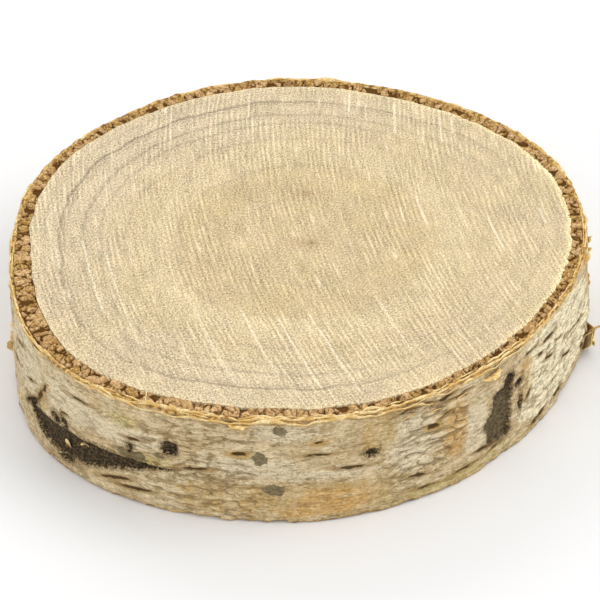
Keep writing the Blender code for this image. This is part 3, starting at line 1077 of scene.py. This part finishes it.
def bark_flap(name, seed, direction, height, length, reach, tilt, lean, curl):
    """A torn flap of paper bark, all lengths in mm. It grows from a line of the given length on the bark,
    turned by tilt; it starts at the angle lean from the bark and turns by curl along its reach."""
    bm = bmesh.new()
    bmesh.ops.create_grid(bm, x_segments=FLAP_COLUMNS, y_segments=FLAP_ROWS, size=0.5)
    angle = np.array([math.radians(direction)])
    share = height * MM / THICKNESS
    radius = (float(branch_radius(angle)[0]) + float(bark_relief(angle, np.array([share]))[0])) / MM - 0.25
    out = Vector((math.cos(angle[0]), math.sin(angle[0]), 0.0))
    along = Vector((-math.sin(angle[0]), math.cos(angle[0]), 0.0))
    up = Vector((0.0, 0.0, 1.0))
    root_line = along * math.cos(math.radians(tilt)) + up * math.sin(math.radians(tilt))
    grow = up * math.cos(math.radians(tilt)) - along * math.sin(math.radians(tilt))
    tip = bm.verts.layers.float.new("tip")
    for vert in bm.verts:
        across = vert.co.x + 0.5
        far = vert.co.y + 0.5
        ends = (1.0 - abs(2.0 * across - 1.0) ** 3.0) ** 0.5
        torn = 1.0 + 0.35 * noise.noise(Vector((across * length * 1.3, seed, 0.0)))
        run = far * reach * torn * max(ends, 0.12)
        start = math.radians(lean + 14.0 * noise.noise(Vector((across * length * 0.5, seed, 3.0))))
        turn = math.radians(curl) / reach
        if abs(turn) < 1e-6:
            rise = run * math.cos(start)
            stand = run * math.sin(start)
        else:
            rise = (math.sin(start + turn * run) - math.sin(start)) / turn
            stand = (math.cos(start) - math.cos(start + turn * run)) / turn
        shift = (across - 0.5) * length
        drop = shift * shift * math.cos(math.radians(tilt)) / (2.0 * radius)
        spot = out * (radius - drop + stand) + root_line * shift + grow * rise
        spot += out * 0.10 * noise.noise(spot * 0.9)
        vert[tip] = far
        vert.co = Vector((MIDDLE[0], MIDDLE[1], height * MM)) + spot * MM
        vert.co.z = max(vert.co.z, 0.02 * MM)
    return thick_piece(name, bm, FLAP_THICKNESS)


def build_bark_curls(sizes, colours):
    """Curls, flaps and flakes where the paper bark has come loose."""
    flaps = [bark_flap(f"flap_{index}", 70.0 + index, *flap) for index, flap in enumerate(BARK_FLAPS)]
    rng = random.Random(sizes.seed + 5)
    for index in range(BACK_FLAP_COUNT):
        drawn = [rng.uniform(*span) for span in BACK_FLAP_RANGES]
        flaps.append(bark_flap(f"back_flap_{index}", 90.0 + index, *drawn))
    curls = join_pieces("bark_curls", flaps)
    finish_piece(curls, paper_material("curled_paper", colours))


def build_splinter(colours):
    """A hair of wood that the saw left lying across the cork."""
    direction = math.radians(241.4)
    bm = bmesh.new()
    bmesh.ops.create_grid(bm, x_segments=3, y_segments=20, size=0.5)
    edge = float(branch_radius(np.array([direction]))[0])
    for vert in bm.verts:
        along = vert.co.y + 0.5
        aside = (vert.co.x * 0.18 + 0.20 * math.sin(along * 3.0)) * MM
        vert.co = (
            MIDDLE[0] + (edge - 3.0 * MM) * math.cos(direction) + aside,
            MIDDLE[1] + (edge - 3.0 * MM) * math.sin(direction) - 3.1 * MM * along,
            THICKNESS + (0.05 + 0.35 * math.sin(along * math.pi)) * MM,
        )
    piece = thick_piece("hair_splinter", bm, 0.12 * MM)
    recipe = Recipe("splinter_wood")
    fibre = recipe.noise(recipe.place(), 4.0, 2.0, 0.6)
    colour = recipe.mix(recipe.rise(fibre, 0.35, 0.65), to_linear(206, 184, 140), to_linear(240, 226, 190))
    material = recipe.finish(colour, recipe.step(fibre, 0.3, 0.7, 0.75, 0.6), None, 0.2)
    finish_piece(piece, material)


# ---------------------------------------------------------------------------------------------------
# Stage


def build_stage(colours):
    bm = bmesh.new()
    bmesh.ops.create_grid(bm, x_segments=1, y_segments=1, size=FLOOR_HALF_WIDTH)
    floor = new_piece("floor", bm)
    recipe = Recipe("pale_table")
    recipe.finish(colours.floor, 0.9, None, 0.1)
    floor.data.materials.append(recipe.material)

    scene = bpy.context.scene
    scene.view_settings.view_transform = "Standard"
    world = bpy.data.worlds.new("studio")
    scene.world = world
    world.use_nodes = True
    background = world.node_tree.nodes["Background"]
    background.inputs["Color"].default_value = (1.0, 1.0, 1.0, 1.0)
    background.inputs["Strength"].default_value = SKY_STRENGTH

    slice_middle = (MIDDLE[0], MIDDLE[1], THICKNESS / 2.0)
    for name, place, aim, size, power in LAMPS:
        lamp = bpy.data.lights.new(name, "AREA")
        lamp.size = size
        lamp.energy = power
        light = bpy.data.objects.new(name, lamp)
        light.location = place
        towards = Vector(aim or slice_middle) - Vector(place)
        light.rotation_euler = towards.to_track_quat("-Z", "Y").to_euler()
        scene.collection.objects.link(light)

    elevation = math.radians(CAMERA_ELEVATION)
    aim = Vector((MIDDLE[0], MIDDLE[1], 0.0)) + Vector(CAMERA_AIM)
    camera = bpy.data.cameras.new("camera")
    camera.lens = CAMERA_LENS
    camera.sensor_width = 36.0
    camera.clip_start = 0.01
    viewer = bpy.data.objects.new("camera", camera)
    back = Vector((0.0, -math.cos(elevation), math.sin(elevation)))
    viewer.location = aim + back * CAMERA_DISTANCE
    viewer.rotation_euler = (-back).to_track_quat("-Z", "Y").to_euler()
    scene.collection.objects.link(viewer)
    scene.camera = viewer


# ---------------------------------------------------------------------------------------------------
# Operators


class BIRCH_OT_wood(bpy.types.Operator):
    """Build the sawn wood with its growth rings and saw marks"""

    bl_idname = "birch.wood"
    bl_label = "Sawn Wood"

    def execute(self, context):
        build_wood(context.scene.birch_sizes, context.scene.birch_colours)
        return {"FINISHED"}


class BIRCH_OT_cork(bpy.types.Operator):
    """Build the ring of cork between the wood and the paper bark"""

    bl_idname = "birch.cork"
    bl_label = "Cork Ring"

    def execute(self, context):
        build_cork(context.scene.birch_sizes, context.scene.birch_colours)
        return {"FINISHED"}


class BIRCH_OT_bark(bpy.types.Operator):
    """Build the paper bark round the side"""

    bl_idname = "birch.bark"
    bl_label = "Paper Bark"

    def execute(self, context):
        build_bark(context.scene.birch_sizes, context.scene.birch_colours)
        return {"FINISHED"}


class BIRCH_OT_rim_papers(bpy.types.Operator):
    """Build the torn layers of paper bark along both rims"""

    bl_idname = "birch.rim_papers"
    bl_label = "Rim Papers"

    def execute(self, context):
        build_rim_papers(context.scene.birch_colours)
        return {"FINISHED"}


class BIRCH_OT_bark_curls(bpy.types.Operator):
    """Build the curls and flaps where the paper bark has come loose"""

    bl_idname = "birch.bark_curls"
    bl_label = "Bark Curls"

    def execute(self, context):
        build_bark_curls(context.scene.birch_sizes, context.scene.birch_colours)
        return {"FINISHED"}


class BIRCH_OT_splinter(bpy.types.Operator):
    """Build the hair of wood that lies across the cork"""

    bl_idname = "birch.splinter"
    bl_label = "Hair Splinter"

    def execute(self, context):
        build_splinter(context.scene.birch_colours)
        return {"FINISHED"}


class BIRCH_OT_stage(bpy.types.Operator):
    """Set up the floor, the lights and the camera"""

    bl_idname = "birch.stage"
    bl_label = "Stage"

    def execute(self, context):
        build_stage(context.scene.birch_colours)
        return {"FINISHED"}


OPERATORS = (
    BIRCH_OT_wood,
    BIRCH_OT_cork,
    BIRCH_OT_bark,
    BIRCH_OT_rim_papers,
    BIRCH_OT_bark_curls,
    BIRCH_OT_splinter,
    BIRCH_OT_stage,
)


class BIRCH_PT_panel(bpy.types.Panel):
    """Lists the pieces of the slice"""

    bl_label = "Birch Slice"
    bl_idname = "BIRCH_PT_panel"
    bl_space_type = "VIEW_3D"
    bl_region_type = "UI"
    bl_category = "Birch Slice"

    def draw(self, context):
        for settings in (context.scene.birch_sizes, context.scene.birch_colours):
            box = self.layout.box()
            for name in settings.__annotations__:
                box.prop(settings, name)
        for operator in OPERATORS:
            self.layout.operator(operator.bl_idname)


CLASSES = (BirchSliceSizes, BirchSliceColours, *OPERATORS, BIRCH_PT_panel)


def register():
    for cls in CLASSES:
        bpy.utils.register_class(cls)
    bpy.types.Scene.birch_sizes = PointerProperty(type=BirchSliceSizes)
    bpy.types.Scene.birch_colours = PointerProperty(type=BirchSliceColours)


def unregister():
    del bpy.types.Scene.birch_colours
    del bpy.types.Scene.birch_sizes
    for cls in reversed(CLASSES):
        bpy.utils.unregister_class(cls)


def main():
    register()
    bpy.ops.birch.wood()
    bpy.ops.birch.cork()
    bpy.ops.birch.bark()
    bpy.ops.birch.rim_papers()
    bpy.ops.birch.bark_curls()
    bpy.ops.birch.splinter()
    bpy.ops.birch.stage()


if __name__ == "__main__":
    main()
